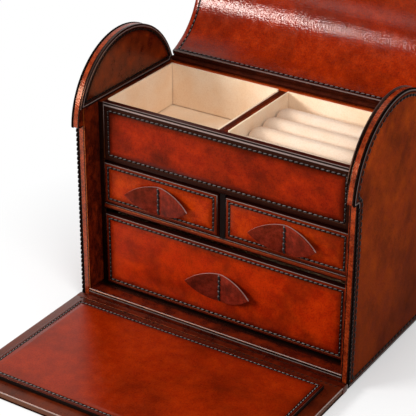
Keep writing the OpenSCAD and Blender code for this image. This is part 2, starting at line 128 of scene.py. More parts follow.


# Glazed calf leather: dyed by hand in uneven coats, rubbed dark along its edges and polished.
# The eye sees soft clouds, small mottles and flecks, and a low satin gloss broken by a fine pebbled grain.
# The grain of real calf is about 0.5 mm; it is drawn about twice as coarse so that it shows.
# Flecks of dye are about 1.3 mm, creases 6 mm and waves of loose leather 16 mm apart.
# The stored attribute sets darkness: 0 to 1 for rubbing and painted shade, black at 2 for ink and painted shadow, and
# pale at 3 for painted highlights.
def glazed_leather(name, light, base, dark, gloss=0.34, cloud=48, mottle=9, grain=1.1, pebble=0.4, crease=0.0,
                   stretch=(1, 1, 1), turn=(0, 0, 0), shade=0.8, shine=0.35, mottling=0.5, tint="#ff8c48", slack=0.4,
                   fleck=0.5, fall=0, sparkle=0.0):
    hide = new_material(name)
    spot = add(hide, "TexCoord").outputs["Object"]
    drawn = add(hide, "Mapping", {"Vector": spot, "Rotation": turn, "Scale": stretch}).outputs["Vector"]
    clouds = add(hide, "TexNoise", {"Vector": drawn, "Scale": 1 / (cloud * MM), "Detail": 6.0,
                                    "Roughness": 0.62}).outputs["Fac"]
    mottles = add(hide, "TexNoise", {"Vector": drawn, "Scale": 1 / (mottle * MM), "Detail": 4.0,
                                     "Roughness": 0.7}).outputs["Fac"]
    flecks = add(hide, "TexNoise", {"Vector": spot, "Scale": 1 / (1.3 * MM), "Detail": 3.0,
                                    "Roughness": 0.7}).outputs["Fac"]
    glow = add(hide, "MapRange", {"Value": mottles, "From Min": 0.4, "From Max": 0.75,
                                  "To Max": 1.2 * mottling}).outputs["Result"]
    dusk = add(hide, "MapRange", {"Value": clouds, "From Min": 0.45, "From Max": 0.75,
                                  "To Max": shade}).outputs["Result"]
    speck = add(hide, "MapRange", {"Value": flecks, "From Min": 0.5, "From Max": 0.75,
                                   "To Max": 1.2 * fleck}).outputs["Result"]
    rub = add(hide, "Attribute", attribute_name="wear_and_painted_light").outputs["Fac"]
    # Darker for rubbing and for painted shade.
    rubbed = add(hide, "MapRange", {"Value": rub, "To Max": 0.9}).outputs["Result"]
    inked = add(hide, "MapRange", {"Value": rub, "From Min": 1.0, "From Max": 2.0}).outputs["Result"]
    tone = add(hide, "Mix", {0: glow, 6: linear(base), 7: linear(light)}, data_type="RGBA").outputs[2]
    glint = add(hide, "MapRange", {"Value": flecks, "From Min": 0.48, "From Max": 0.25,
                                   "To Max": fleck}).outputs["Result"]
    tone = add(hide, "Mix", {0: glint, 6: tone, 7: linear(light)}, data_type="RGBA").outputs[2]
    if crease:
        folds = add(hide, "TexNoise", {"Vector": drawn, "Scale": 1 / (6 * MM), "Detail": 3.0, "Distortion": 1.4},
                    noise_type="RIDGED_MULTIFRACTAL").outputs["Fac"]
        # Painted highlight along the ridges of the folds.
        ridge_highlight = add(hide, "MapRange", {"Value": folds, "From Min": 0.55, "From Max": 1.1,
                                       "To Max": 0.7}).outputs["Result"]
        tone = add(hide, "Mix", {0: ridge_highlight, 6: tone, 7: linear(light)}, data_type="RGBA").outputs[2]
    darker = [dusk, speck, rubbed]
    # Darker towards the foot, below the height fall in mm.
    if fall:
        height = add(hide, "SeparateXYZ", {0: spot}).outputs["Z"]
        deep = add(hide, "MapRange", {"Value": height, "From Min": fall * MM, "From Max": 0.0, "To Max": 0.6})
        darker.insert(2, deep.outputs["Result"])
    for amount in darker:
        tone = add(hide, "Mix", {0: amount, 6: tone, 7: linear(dark)}, data_type="RGBA").outputs[2]
    # Black for edge ink and for painted shadow; pale for painted highlight lines.
    painted_highlight = add(hide, "MapRange", {"Value": rub, "From Min": 2.0, "From Max": 3.0}).outputs["Result"]
    tone = add(hide, "Mix", {0: inked, 6: tone, 7: linear(INK_AND_SHADOW)}, data_type="RGBA").outputs[2]
    tone = add(hide, "Mix", {0: painted_highlight, 6: tone, 7: linear(HIGHLIGHT_PAINT)}, data_type="RGBA").outputs[2]
    polish = add(hide, "MapRange", {"Value": mottles, "From Min": 0.3, "From Max": 0.7, "To Min": gloss - 0.05,
                                    "To Max": gloss + 0.07}).outputs["Result"]
    pebbles = add(hide, "TexVoronoi", {"Vector": spot, "Scale": 1 / (grain * MM)}).outputs["Distance"]
    fine = add(hide, "Bump", {"Height": pebbles, "Strength": 1.0, "Distance": 0.12 * pebble * MM}).outputs["Normal"]
    swell = add(hide, "TexNoise", {"Vector": spot, "Scale": 1 / (16 * MM), "Detail": 2.0}).outputs["Fac"]
    soft = add(hide, "Bump", {"Height": swell, "Strength": slack, "Distance": 0.7 * MM,
                              "Normal": fine}).outputs["Normal"]
    if crease:
        soft = add(hide, "Bump", {"Height": folds, "Strength": crease, "Distance": 0.9 * MM,
                                  "Normal": soft}).outputs["Normal"]
    surface = add(hide, "BsdfPrincipled", {"Base Color": tone, "Roughness": polish, "Normal": soft, "IOR": 1.48,
                                           "Specular IOR Level": shine, "Specular Tint": linear(tint)})
    if sparkle:
        gleam = add(hide, "MapRange", {"Value": flecks, "From Min": 0.36, "From Max": 0.64,
                                       "To Min": shine * (1 - sparkle), "To Max": shine * (1 + sparkle)})
        hide.node_tree.links.new(gleam.outputs["Result"], surface.inputs["Specular IOR Level"])
    add(hide, "OutputMaterial", {"Surface": surface.outputs[0]})
    return hide


# Calf rubbed by the drop front: almost black, with warm mottles and a soft gloss.
floor_hide = glazed_leather("rubbed_recess_calf", "#8a2808", "#4c1005", "#0e0302", cloud=20, mottle=9, gloss=0.28,
                            shine=0.5, mottling=0.9, fleck=0.2)


def take_up(*pieces):
    """Selects these pieces alone, the first one active."""
    bpy.ops.object.select_all(action="DESELECT")
    for piece in pieces:
        piece.select_set(True)
    bpy.context.view_layer.objects.active = pieces[0]


def paint(piece, material):
    """Gives a piece one finish all over."""
    piece.data.materials.clear()
    piece.data.materials.append(material)


def seat(piece, material, body, slot, *nodes):
    """Gives a piece its finish, the body it moves with and the solids it stands for."""
    paint(piece, material)
    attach(piece, body)
    if nodes:
        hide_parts(*nodes)


def copy_of(node, name):
    """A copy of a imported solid, with its loose triangles joined into whole faces."""
    piece = bpy.data.objects.new(name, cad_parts[node].data.copy())
    bpy.context.scene.collection.objects.link(piece)
    take_up(piece)
    bpy.ops.object.mode_set(mode="EDIT")
    bpy.ops.mesh.select_all(action="SELECT")
    bpy.ops.mesh.remove_doubles(threshold=0.002 * MM)
    bpy.ops.mesh.dissolve_limited(angle_limit=math.radians(0.3))
    bpy.ops.object.mode_set(mode="OBJECT")
    bpy.ops.mesh.customdata_custom_splitnormals_clear()
    return piece


def shade_round(angle=38):
    """Shades the selected piece round, except across edges sharper than an angle in degrees."""
    bpy.ops.object.shade_smooth_by_angle(angle=math.radians(angle))


def cut_across(way, *places):
    """Cuts the active piece square to a direction, at places in mm, so that it can be worked in bands."""
    bpy.ops.object.mode_set(mode="EDIT")
    for place in places:
        bpy.ops.mesh.select_all(action="SELECT")
        bpy.ops.mesh.bisect(plane_co=way * (place * MM), plane_no=way)
    bpy.ops.object.mode_set(mode="OBJECT")


def nose_angle(place, edge, radius):
    """Where a point lies round a front edge: 0 straight in front, 90 on top; edge is the block's front top corner."""
    return math.degrees(math.atan2(place.z - edge.z + radius * MM, edge.y + radius * MM - place.y))


def store_wear_and_light(piece, values):
    """Stores each point's wear and painted light."""
    attribute = piece.data.attributes.get("wear_and_painted_light") or piece.data.attributes.new("wear_and_painted_light", "FLOAT", "POINT")
    attribute.data.foreach_set("value", values)


def wear_and_light_by(piece, darkness):
    """Sets each point's wear and painted light by a function of its place."""
    store_wear_and_light(piece, [float(darkness(v.co)) for v in piece.data.vertices])


paint(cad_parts["base_pad"], felt)
paint(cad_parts["base_board"], black_edge)
# Heights of the bands of painted highlight and black down the rolled edge, and depths of the bands of painted shadow
# where the floor passes under the large drawer, in mm.
NOSE_RADIUS, NOSE_BANDS, SHADOW_BANDS = 1.6, (7.9, 8.3, 8.8, 9.2), (-56, -53.5, -51)
recess_leather = copy_of("recess_floor_leather", "recess_floor_hide")
cut_across(UP, *reversed(NOSE_BANDS))
cut_across(BACK, *SHADOW_BANDS)
shade_round()
low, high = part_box("recess_floor_leather")
floor_edge = Vector((0, low.y, high.z))


def nose_highlights_and_shadow(place):
    """Painted highlight lines round the rolled edge with black between them, and painted shadow under the large drawer.
    """
    if place.z < floor_edge.z - (NOSE_RADIUS + 0.01) * MM:
        return np.interp(place.z / MM, NOSE_BANDS, (0.6, 2.3, 2.3, 2))
    if place.y > (SHADOW_BANDS[0] - 1) * MM:
        return np.interp(place.y / MM, SHADOW_BANDS, (0.3, 1.2, 2))
    return np.interp(nose_angle(place, floor_edge, NOSE_RADIUS), (0, 33, 44, 56, 68, 90, 100),
                     (2, 2, 2.55, 2.7, 0.7, 0.3, 0.1))


wear_and_light_by(recess_leather, nose_highlights_and_shadow)
seat(recess_leather, floor_hide, "box", "chestnut_leather", "recess_floor_leather")

# Side walls: covered boards with a leather facing outside, a second one inside each dome, and a strip round the edge.
# The facings are sewn through near their edges with waxed thread, and the edges are pared, painted and polished.
FRONT, LEFT, RIGHT = Vector((0, -1, 0)), Vector((-1, 0, 0)), Vector((1, 0, 0))
# Creased calf in the recess: nearly black, with painted highlights along the ridges of its folds.
creased = glazed_leather("creased_recess_calf", "#86290a", "#380b05", "#080202", cloud=20, mottle=6, crease=1.0,
                         stretch=(1, 1, 0.6), turn=(0.5, 0, 0), gloss=0.4, mottling=0.9)
# Dark calf of domes and cheeks: brown clouds in black, with a low gloss.
dusky = glazed_leather("dark_dome_calf", "#96380c", "#541806", "#100403", cloud=36, mottle=14, gloss=0.3, mottling=0.8)
# Tan calf of the walls: bright tan at the top, darker towards the foot, almost without gloss.
tan_wall = glazed_leather("tan_wall_calf", "#ac480c", "#8c3008", "#340f05", cloud=38, mottle=9,
                          stretch=(1, 1, 0.8), turn=(0.35, 0, 0), gloss=0.45, shine=0.006, mottling=0.6,
                          shade=0.75, fall=190)
# Burnished calf round the rims: small bright mottles and a broken, pebbled gloss.
rim_hide = glazed_leather("burnished_rim_calf", "#a84218", "#78220a", "#220705", cloud=18, mottle=4, gloss=0.26,
                          grain=1.6, pebble=1.0, shine=0.55, mottling=0.9, tint="#ffb48c", fleck=0.6)
# Raw edge of leather: light brown and fibrous, with next to no gloss.
raw_edge = stained_board("raw_leather_edge", "#9a4a14", "#5a240a", shine=0.1)


def apply_modifier(piece, kind, **settings):
    """Adds a modifier with its settings and applies it."""
    modifier = piece.modifiers.new(kind.lower(), kind)
    for name, value in settings.items():
        setattr(modifier, name, value)
    take_up(piece)
    bpy.ops.object.modifier_apply(modifier=modifier.name)


def ease_edges(piece, width, segments=3, angle=30):
    """Rounds the sharp edges of a piece, as paring and burnishing do."""
    apply_modifier(piece, "BEVEL", width=width * MM, segments=segments, limit_method="ANGLE",
                   angle_limit=math.radians(angle))
    shade_round()


for side in ("left", "right"):
    paint(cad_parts[side + "_side_panel"], creased)
    cheek = copy_of(side + "_cheek", side + "_cheek_hide")
    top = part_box(side + "_cheek")[1].z - 0.1 * MM
    ease_edges(cheek, 0.5)
    # Painted shadow: the front of each cheek is black, and its top keeps the brown leather.
    wear_and_light_by(cheek, lambda p: 0.3 if p.z > top else 2)
    seat(cheek, dusky, "box", "dark_leather", side + "_cheek")


# Waxed linen thread: two plies twisted hard, nearly black, with a painted grey highlight on its upper side.
# The ply twist is about 0.4 mm and is drawn at 0.8 mm.
def waxed_thread(name, highlight_tone, shine):
    linen = new_material(name)
    twist = add(linen, "TexWave", {"Vector": add(linen, "TexCoord").outputs["Object"], "Scale": 1 / (2.4 * MM),
                                   "Distortion": 1.5}, bands_direction="DIAGONAL").outputs["Fac"]
    facing_up = add(linen, "SeparateXYZ", {0: add(linen, "NewGeometry").outputs["Normal"]}).outputs["Z"]
    # Painted highlight: the thread is lighter where it faces up.
    top_highlight = add(linen, "MapRange", {"Value": facing_up, "From Min": 0.45, "From Max": 0.95}).outputs["Result"]
    tone = add(linen, "Mix", {0: twist, 6: linear("#0b0908"), 7: linear("#1f1a18")}, data_type="RGBA").outputs[2]
    tone = add(linen, "Mix", {0: top_highlight, 6: tone, 7: linear(highlight_tone)}, data_type="RGBA").outputs[2]
    relief = add(linen, "Bump", {"Height": twist, "Strength": 0.5, "Distance": 0.15 * MM}).outputs["Normal"]
    surface = add(linen, "BsdfPrincipled", {"Base Color": tone, "Roughness": 0.4, "Normal": relief, "IOR": 1.5,
                                            "Specular IOR Level": shine})
    add(linen, "OutputMaterial", {"Surface": surface.outputs[0]})
    return linen


# One thread has a strong painted grey highlight and shows as pale beads on the dark leather; black thread has hardly
# any and shows only by its shape.
highlit_thread = waxed_thread("waxed_thread_grey_highlight", "#7e7573", 0.3)
black_thread = waxed_thread("waxed_black_thread", "#1c1614", 0.05)


def facing_polygon(piece, way):
    """The largest flat face of a piece that looks one way."""
    return max((p for p in piece.data.polygons if p.normal.dot(way) > 0.999), key=lambda p: p.area)


def pick_face(piece, way):
    """Selects that face and leaves the piece in edit mode."""
    take_up(piece)
    index = facing_polygon(piece, way).index
    mesh = piece.data
    mesh.vertices.foreach_set("select", [False] * len(mesh.vertices))
    mesh.edges.foreach_set("select", [False] * len(mesh.edges))
    mesh.polygons.foreach_set("select", [p.index == index for p in mesh.polygons])
    bpy.ops.object.mode_set(mode="EDIT")


# One stitch, 3.4 mm long: a short length of thread whose two ends dive into the leather.
STITCH_LENGTH, STITCH_WIDTH = 3.4, 1.25
bpy.context.tool_settings.mesh_select_mode = (False, False, True)
bpy.ops.object.select_all(action="DESELECT")
bpy.ops.mesh.primitive_cylinder_add(vertices=8, radius=STITCH_WIDTH / 2 * MM, depth=0.55 * STITCH_LENGTH * MM,
                                    rotation=(0, math.pi / 2, 0))
stitch = bpy.context.object
bpy.ops.object.transform_apply(rotation=True)
for way in (LEFT, RIGHT):
    pick_face(stitch, way)
    dive = way * 0.225 * STITCH_LENGTH * MM - UP * 0.22 * MM
    bpy.ops.mesh.extrude_region_move(TRANSFORM_OT_translate={"value": dive})
    bpy.ops.transform.resize(value=(1, 0.5, 0.5))
    bpy.ops.object.mode_set(mode="OBJECT")
bpy.ops.object.shade_smooth()


def sew(name, path, out, body, pitch, lean=9, closed=True, thread=highlit_thread, size=1.0, broad=1.0, proud=0.3):
    """Lays stitches along a line on a face; out is the face's direction, or a function of the place.

    The line turns a corner where it bends by more than 35 degrees. Pitch and proud are in mm, lean is in degrees.
    """
    points = [Vector(p) for p in path]
    if closed:
        points.append(points[0])
    runs = [[points[0]]]
    for before, here, after in zip(points, points[1:], points[2:] + [None]):
        runs[-1].append(here)
        if after is not None and (here - before).angle(after - here, 0) > math.radians(35):
            runs.append([here])
    marks = []
    for run in runs:
        legs = [(b - a).length for a, b in zip(run, run[1:])]
        count = max(1, round(sum(legs) / (pitch * MM)))
        for i in range(count):
            reach = (i + 0.5) * sum(legs) / count
            k = 0
            while k < len(legs) - 1 and reach > legs[k]:
                reach -= legs[k]
                k += 1
            along = (run[k + 1] - run[k]).normalized()
            place = run[k] + along * reach
            up = out(place) if callable(out) else out
            across = up.cross(along).normalized()
            turn = Matrix((along, across, along.cross(across))).transposed().to_4x4()
            mesh = stitch.data.copy()
            form = Matrix.Rotation(math.radians(lean), 4, "Z") @ Matrix.Diagonal((size, size * broad, size, 1))
            mesh.transform(Matrix.Translation(place + up * proud * MM) @ turn @ form)
            mark = bpy.data.objects.new(name, mesh)
            bpy.context.scene.collection.objects.link(mark)
            marks.append(mark)
    take_up(*marks)
    bpy.ops.object.join()
    marks[0].name = name
    seat(marks[0], thread, body, "dark_leather")


def wear_and_painted_light(piece, way, outline, rings, edge):
    """Sets each point's wear and painted light by its distance in mm to the outline of its face, and all that is off
    the face as an edge.
    """
    places = np.array([v.co for v in piece.data.vertices])
    line = np.array(outline)
    height = (places - line[0]) @ np.array(way)
    flat = places - np.outer(places @ np.array(way), way)
    line = line - np.outer(line @ np.array(way), way)
    leg = np.roll(line, -1, axis=0) - line
    share = np.einsum("nmk,mk->nm", flat[:, None] - line[None], leg) / np.maximum((leg ** 2).sum(1), 1e-18)
    nearest = line[None] + np.clip(share, 0, 1)[..., None] * leg[None]
    distance = np.sqrt(((flat[:, None] - nearest) ** 2).sum(2)).min(1) / MM
    stops, values = zip(*rings)
    rub = np.where(np.abs(height) < 0.9 * MM, np.interp(distance, stops, values), edge)
    store_wear_and_light(piece, rub.astype(np.float32))


def inner_line(outline, way, margin, count=360):
    """The closed line margin mm inside a flat outline, as count even points from the middle of its longest edge."""
    corners, up = np.array(outline), np.array(way)
    longest = np.linalg.norm(np.roll(corners, -1, axis=0) - corners, axis=1).argmax()
    corners = np.roll(corners, -longest - 1, axis=0)
    corners = np.vstack([(corners[-1] + corners[0]) / 2, corners])
    legs = np.roll(corners, -1, axis=0) - corners
    places, inward = [], []
    for corner, leg in zip(corners, legs):
        length = np.linalg.norm(leg)
        steps = max(1, int(length / (0.4 * MM)))
        places += [corner + leg * (i + 0.5) / steps for i in range(steps)]
        inward += [np.cross(up, leg / length)] * steps
    moved = np.array(places) + np.array(inward) * margin * MM
    share = np.einsum("nmk,mk->nm", moved[:, None] - corners[None], legs) / (legs ** 2).sum(1)
    nearest = corners[None] + np.clip(share, 0, 1)[..., None] * legs[None]
    clear = np.sqrt(((moved[:, None] - nearest) ** 2).sum(2)).min(1)
    kept = moved[clear > (margin - 0.05) * MM]
    ring = np.vstack([kept, kept[:1]])
    travel = np.concatenate([[0], np.cumsum(np.linalg.norm(np.diff(ring, axis=0), axis=1))])
    stops = np.linspace(0, travel[-1], count, endpoint=False)
    return np.column_stack([np.interp(stops, travel, ring[:, k]) for k in range(3)])


# Section of a stitch groove: the place across it and its depth there, in mm.
GROOVE = ((-1.2, 0), (-0.85, 0.3), (0, 0.5), (0.85, 0.3), (1.2, 0))
# The creased edge of a thick facing: black ink, a painted highlight line, and black again.
EDGE_CREASE = ((0, 2), (0.6, 2), (0.95, 2.35), (1.4, 2.3), (1.8, 2))
# The pared edge of a facing, inked nearly black.
INKED_EDGE = 1.9


def rub_rings(margin, rub, edge, border, ink=2):
    """How a sewn face is worked and painted, from its edge inwards; border is the strip outside the groove, ink the
    groove's darkness, which also stands in for the shade in the channel.
    """
    outer = EDGE_CREASE if edge == "crease" else ((0, edge),)
    groove = tuple((margin + place, value) for (place, _), value in zip(GROOVE, (border, ink, ink, ink, rub)))
    return outer + groove + ((margin + 5, rub * 0.3), (margin + 14, 0))


def press_curved_line(piece, way, margin, rub, ink=2):
    """Presses a stitch groove into a face with curves and notches in its outline; returns the groove's line."""
    outline = [piece.data.vertices[i].co.copy() for i in facing_polygon(piece, way).vertices]
    form = bmesh.new()
    form.from_mesh(piece.data)
    form.faces.ensure_lookup_table()
    face = form.faces[facing_polygon(piece, way).index]
    border = list(face.edges)
    bmesh.ops.delete(form, geom=[face], context="FACES_ONLY")
    depths = {margin + place: depth for place, depth in GROOVE}
    working = rub_rings(margin, rub, "crease", rub, ink)
    rings = []
    for reach, _ in working[1:-1]:
        line = inner_line(outline, way, reach)
        rings.append([form.verts.new(Vector(p) - way * depths.get(reach, 0) * MM) for p in line])
        if reach == margin:
            groove = [v.co.copy() for v in rings[-1]]
    loops = [[form.edges.new((a, b)) for a, b in zip(ring, ring[1:] + ring[:1])] for ring in rings]
    bmesh.ops.triangle_fill(form, edges=border + loops[0], use_beauty=True, normal=way)
    for outer, inner in zip(rings, rings[1:]):
        for k in range(len(outer)):
            form.faces.new((outer[k - 1], outer[k], inner[k], inner[k - 1]))
    form.faces.new(rings[-1])
    bmesh.ops.recalc_face_normals(form, faces=form.faces)
    form.to_mesh(piece.data)
    form.free()
    take_up(piece)
    shade_round()
    wear_and_painted_light(piece, way, outline, working, INKED_EDGE)
    return groove


def paint_part(piece, material, chosen):
    """Gives a second finish to the faces that a test picks."""
    piece.data.materials.append(material)
    for polygon in piece.data.polygons:
        polygon.material_index = int(chosen(polygon))


# A row of stitches closes each wall's front corner, from the foot to below the dome.
CORNER_FOOT, CORNER_HEAD, CORNER_INSET = 4 * MM, 161 * MM, 0.85 * MM
for side, way in (("left", LEFT), ("right", RIGHT)):
    facing = copy_of(side + "_outer_facing", side + "_outer_hide")
    ease_edges(facing, 0.6, angle=40)
    line = press_curved_line(facing, way, margin=5.0, rub=0.25, ink=0.25)
    seat(facing, tan_wall, "box", "tan_leather", side + "_outer_facing")
    sew(side + "_outer_stitches", line, way, "box", pitch=5.6, lean=4, thread=black_thread, size=1.45, broad=1.5)
    low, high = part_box(side + "_outer_facing")
    corner_x = low.x if side == "left" else high.x
    corner_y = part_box("recess_floor_leather")[0].y + CORNER_INSET
    sew(side + "_corner_stitches", [(corner_x, corner_y, CORNER_FOOT), (corner_x, corner_y, CORNER_HEAD)], way, "box",
        pitch=4.3, lean=12, closed=False, thread=black_thread, size=1.05, broad=1.2, proud=0.5)
    strip = copy_of(side + "_edge_binding", side + "_rim_strip")
    low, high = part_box(side + "_edge_binding")
    cut_across(RIGHT, low.x / MM + 0.7, low.x / MM + 1.0, high.x / MM - 1.0, high.x / MM - 0.7)
    ease_edges(strip, 0.5, angle=40)
    wear_and_light_by(strip, lambda p: np.interp(min(p.x - low.x, high.x - p.x) / MM, (0.72, 0.98), (2, 0)))
    seat(strip, rim_hide, "box", "chestnut_leather", side + "_edge_binding")
    dome = copy_of(side + "_dome_facing", side + "_dome_hide")
    ease_edges(dome, 0.7, angle=40)
    line = press_curved_line(dome, -way, margin=3.8, rub=0.85)
    seat(dome, dusky, "box", "dark_leather", side + "_dome_facing")
    sew(side + "_dome_stitches", line, -way, "box", pitch=4.6, thread=black_thread)
    inside = copy_of(side + "_recess_leather", side + "_recess_hide")
    seat(inside, creased, "box", "dark_leather", side + "_recess_leather")
    paint_part(inside, raw_edge, lambda face: side == "left" and face.normal.dot(FRONT) > 0.9)

# Back wall: a covered board with one leather facing, sewn all round with black thread.
# Its top is grooved for the bead on which the lid turns.

# Tan calf of the plain outsides: warm clouds drawn out upwards, rubbed matt by handling.
tan_side = glazed_leather("glazed_tan_calf", "#a24210", "#8c330b", "#341006", cloud=34, mottle=7, stretch=(1, 1, 0.55),
                          turn=(0.35, 0, 0), gloss=0.45, shine=0.003)
# A sewn face swells inside its groove in two steps: how wide each is and how far it rises, in mm.
CROWN = ((4.25, 0.2), (9, 0.15))


def press_stitch_line(piece, way, margin, edge, rub=0.75, border=0.75):
    """Presses a stitch groove round a rectangular face, margin mm inside its edge; returns the groove's line."""
    outline = [piece.data.vertices[i].co.copy() for i in facing_polygon(piece, way).vertices]
    pick_face(piece, way)
    bpy.ops.mesh.inset(thickness=(margin + GROOVE[0][0]) * MM)
    for (place, depth), (further, deeper) in zip(GROOVE, GROOVE[1:]):
        bpy.ops.mesh.inset(thickness=(further - place) * MM, depth=(depth - deeper) * MM)
        if further == 0:
            bpy.ops.object.mode_set(mode="OBJECT")
            floor = next(p for p in piece.data.polygons if p.select)
            line = [piece.data.vertices[i].co.copy() for i in floor.vertices]
            bpy.ops.object.mode_set(mode="EDIT")
    for run, rise in CROWN:
        bpy.ops.mesh.inset(thickness=run * MM, depth=rise * MM)
    bpy.ops.object.mode_set(mode="OBJECT")
    shade_round()
    wear_and_painted_light(piece, way, outline, rub_rings(margin, rub, edge, border), edge)
    return line


paint(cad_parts["back_panel"], dusky)
back_hide = copy_of("back_facing", "back_hide")
ease_edges(back_hide, 0.6, angle=40)
line = press_stitch_line(back_hide, BACK, margin=4.0, edge=INKED_EDGE)
seat(back_hide, tan_side, "box", "tan_leather", "back_facing")
sew("back_stitches", line, BACK, "box", pitch=6.0, lean=4, thread=black_thread, size=1.3)

# Cabinet: a leather-covered shelf with a round nose, an upright between the small drawers, and bare runners.
# All are glued between the cheeks, and the shelf's leather is rolled over its front edge.

# Stained drawer board: plain dark brown with a faint streak.
brown_board = stained_board("stained_drawer_board", "#4a2816", "#2e170c", shine=0.05)
# Rolled calf of the shelf: dark red brown, with a painted highlight line along its nose and painted shadow under it.
shelf_hide = glazed_leather("rolled_shelf_calf", "#96300a", "#701b05", "#200703", cloud=25, gloss=0.3, shine=0.3)
# The upright is painted black, which stands in for the shade between the small drawers.
for node, finish in (("drawer_upright", black_edge), ("drawer_runners", brown_board), ("tray_floor", brown_board)):
    paint(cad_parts[node], finish)
shelf = copy_of("drawer_shelf", "shelf_hide")
shade_round()
low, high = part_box("drawer_shelf")
shelf_edge, shelf_nose = Vector((0, low.y, high.z)), (high.z - low.z) / MM / 2
# Black as painted shadow under the nose, and a painted highlight line near its top.
wear_and_light_by(shelf, lambda p: np.interp(nose_angle(p, shelf_edge, shelf_nose), (-90, -24, -10, 45, 60, 66, 76, 100),
                                      (2, 2, 0.6, 0.4, 2.8, 2.6, 0.9, 0.6)))
seat(shelf, shelf_hide, "box", "chestnut_leather", "drawer_shelf")

# Tray: a stitched fascia in front, a rail behind, a leather partition, and suede-covered card inside.
# The suede cards are cut to size and stand edge to edge, so fine seams show in the corners.

# Dark chestnut calf of the fascia: deep red brown with near black clouds and a dull gloss.
fascia_dye = glazed_leather("dark_chestnut_calf", "#a02805", "#761403", "#260602", cloud=38, mottling=0.7, shade=0.9,
                            gloss=0.4, shine=0.15)
# Bright calf of the back rail: orange brown with small mottles.
rail_hide = glazed_leather("bright_rail_calf", "#d4581c", "#b03c0c", "#4a1405", cloud=20, mottle=5)
# Cream suede of the cards: pale and dry, with warm strokes.
cream_suede = brushed_suede("cream_suede", "#fbe6cc", "#f6d6b2", "#d8ab7c")
fascia = copy_of("fascia_panel", "fascia_hide")
# The strip outside its groove is nearly black: edge ink, which also stands in for the shade under the fascia.
line = press_stitch_line(fascia, FRONT, margin=3.2, rub=0.9, edge=INKED_EDGE, border=1.7)


def paint_top_highlights(piece, node, radius, angles, values):
    """Paints the rounded top edge of a sewn front dark, with painted highlight lines along it."""
    low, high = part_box(node)
    edge = Vector((0, low.y, high.z))
    old = {tuple(v.co): d.value for v, d in zip(piece.data.vertices, piece.data.attributes["wear_and_painted_light"].data)}

    def darkness(place):
        if place.z < edge.z - (radius + 0.01) * MM:
            return old[tuple(place)]
        return np.interp(nose_angle(place, edge, radius), angles, values)

    wear_and_light_by(piece, darkness)


# Its rounded top edge is black with two painted highlight lines.
paint_top_highlights(fascia, "fascia_panel", 3, (0, 10, 20, 30, 40, 60, 70, 80, 90), (1.8, 2, 2.55, 2.4, 2, 2, 2.55, 2, 1.2))
seat(fascia, fascia_dye, "box", "chestnut_leather", "fascia_panel")
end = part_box("fascia_panel")[0].x + 2 * MM
paint_part(fascia, raw_edge, lambda face: face.center.x < end and face.normal.dot(FRONT) > 0.9)
sew("fascia_stitches", line, FRONT, "box", pitch=4.6)
rail = copy_of("tray_back_rail", "tray_rail_hide")
ease_edges(rail, 0.8, angle=40)
seat(rail, rail_hide, "box", "tan_leather", "tray_back_rail")
partition = copy_of("tray_partition", "partition_hide")
low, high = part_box("tray_partition")
seam = (low.x + high.x) / 2 + 0.4 * MM
cut_across(RIGHT, *(seam / MM + place for place in (-0.5, 0, 0.5)))
shade_round()
wear_and_light_by(partition, lambda p: np.interp((p.x - seam) / MM, (-2, -0.5, 0, 0.5, 2), (0.7, 0.5, 2, 0.2, 0)))
seat(partition, dusky, "box", "chestnut_leather", "tray_partition")


def block(start, end):
    """A block between two corners, to be eased and sewn."""
    bpy.ops.object.select_all(action="DESELECT")
    bpy.ops.mesh.primitive_cube_add(size=1, location=(start + end) / 2, scale=end - start)
    bpy.ops.object.transform_apply(location=True, scale=True)
    return bpy.context.object


def suede_cards(node, body, wall, floor, drop=0.0):
    """Five suede-covered cards in the place of a solid lining, in mm; drop sets the front and right ones lower."""
    low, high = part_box(node)
    lower = high.z - drop * MM
    seam = 0.7 * MM
    wall, floor = wall * MM, floor * MM
    boxes = [
        (low, Vector((high.x, high.y, low.z + floor))),
        (Vector((low.x, low.y, low.z + floor + seam)), Vector((high.x, low.y + wall, lower))),
        (Vector((low.x, high.y - wall, low.z + floor + seam)), high),
        (Vector((low.x, low.y + wall + seam, low.z + floor + seam)),
         Vector((low.x + wall, high.y - wall - seam, high.z))),
        (Vector((high.x - wall, low.y + wall + seam, low.z + floor + seam)),
         Vector((high.x, high.y - wall - seam, lower))),
    ]
    cards = []
    for start, end in boxes:
        cards.append(block(start, end))
        ease_edges(cards[-1], 0.3)
    take_up(*cards)
    bpy.ops.object.join()
    cards[0].name = node + "_suede"
    seat(cards[0], cream_suede, body, "suede", node)


for side in ("left", "right"):
    suede_cards(side + "_tray_lining", "box", wall=1.8, floor=2.0, drop=1.8)

# Ring rolls: bars of foam covered in suede, glued side by side so that rings are held between them.
# One roll is blown up as cloth round its foam and then copied, because all four are cut alike.

# Pale suede of the rolls: greyer than the cards, with painted shade at the ends.
roll_suede = brushed_suede("ring_roll_suede", "#f0dcc8", "#ebcdb0", "#cfa37c")
# The skin starts a little small, swells no further than the limit and is drawn out to flat ends that keep a gap.
SLACK_LENGTH, SLACK_WIDTH, SWELL_LIMIT = 0.985, 0.96, 0.9 * MM
END_STRETCH, END_GAP, TOUCH = 1.045, Vector((0.7, 0, 0)) * MM, Vector((0.02, 0.02, 0.02)) * MM
low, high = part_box("ring_roll_1")
middle = (low + high) / 2
roll = copy_of("ring_roll_1", "ring_roll_suede")
slack = Matrix.Diagonal((SLACK_LENGTH, SLACK_WIDTH, SLACK_WIDTH, 1))
roll.data.transform(Matrix.Translation(middle) @ slack @ Matrix.Translation(-middle))
apply_modifier(roll, "REMESH", mode="VOXEL", voxel_size=2.2 * MM)
start = np.array([v.co for v in roll.data.vertices])
cloth = roll.modifiers.new("suede skin", "CLOTH")
cloth.settings.use_pressure = True
cloth.settings.uniform_pressure_force = 4
cloth.settings.effector_weights.gravity = 0
for step in range(1, 21):
    bpy.context.scene.frame_set(step)
blown = roll.evaluated_get(bpy.context.evaluated_depsgraph_get())
